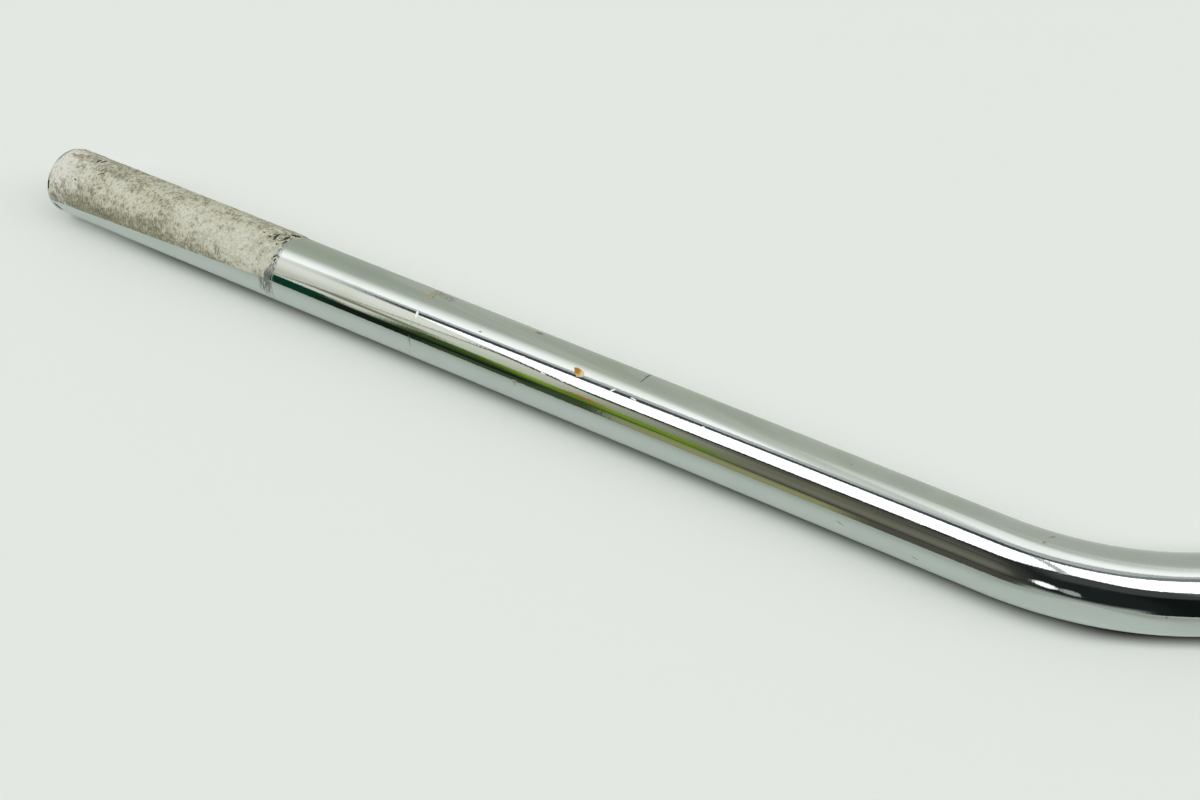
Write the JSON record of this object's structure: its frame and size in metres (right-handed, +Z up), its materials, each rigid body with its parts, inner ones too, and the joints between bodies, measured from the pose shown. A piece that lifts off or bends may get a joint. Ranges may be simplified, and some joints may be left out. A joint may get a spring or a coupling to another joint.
{
  "type": "drag bar handlebar",
  "caption": "Chromed steel drag handlebar for a motorbike: a straight clamp section bent at each side into a long straight arm, both swept back in one plane, with open tube ends.",
  "frame": {"origin": "middle of the clamp section, on the tube's centre line", "axes": "+X along the clamp section, +Y the way the arms sweep back, +Z up as the bar lies flat"},
  "size_m": [0.9054, 0.2014, 0.0254],
  "materials": {
    "chrome_plate": "polished chrome plate on steel, with dried grip glue and small rust specks on the left arm"
  },
  "bodies": {
    "root": {"handlebar_tube": "chrome_plate"}
  },
  "joints": []
}
